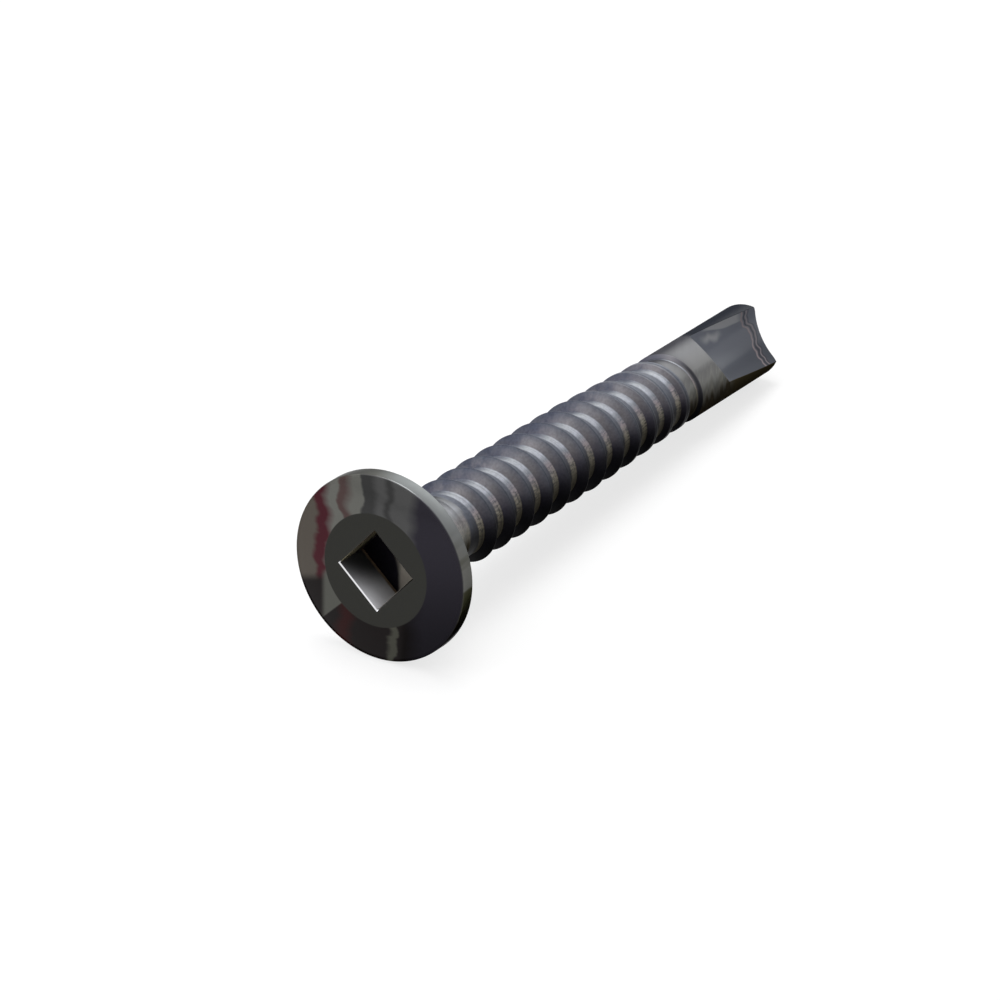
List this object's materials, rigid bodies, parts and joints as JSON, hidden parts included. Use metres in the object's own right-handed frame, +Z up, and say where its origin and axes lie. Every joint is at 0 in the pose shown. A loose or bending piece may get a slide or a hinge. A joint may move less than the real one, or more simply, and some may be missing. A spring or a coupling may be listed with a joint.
{
  "type": "deck screw",
  "caption": "Self-drilling screw with a wide low-profile head, square drive recess, coarse right-hand thread tapering out toward a fluted drill point.",
  "frame": {"origin": "middle of the bounding box, at floor height", "axes": "+X along the length, from the head to the drill point; +Z up from the floor the screw lies on; the shank slopes down toward +X by 4.5 degrees because the head rests on its rim"},
  "size_m": [0.0384, 0.01, 0.0101],
  "materials": {
    "steel": "glossy dark coat"
  },
  "bodies": {
    "root": {"screw": "steel"}
  },
  "joints": []
}
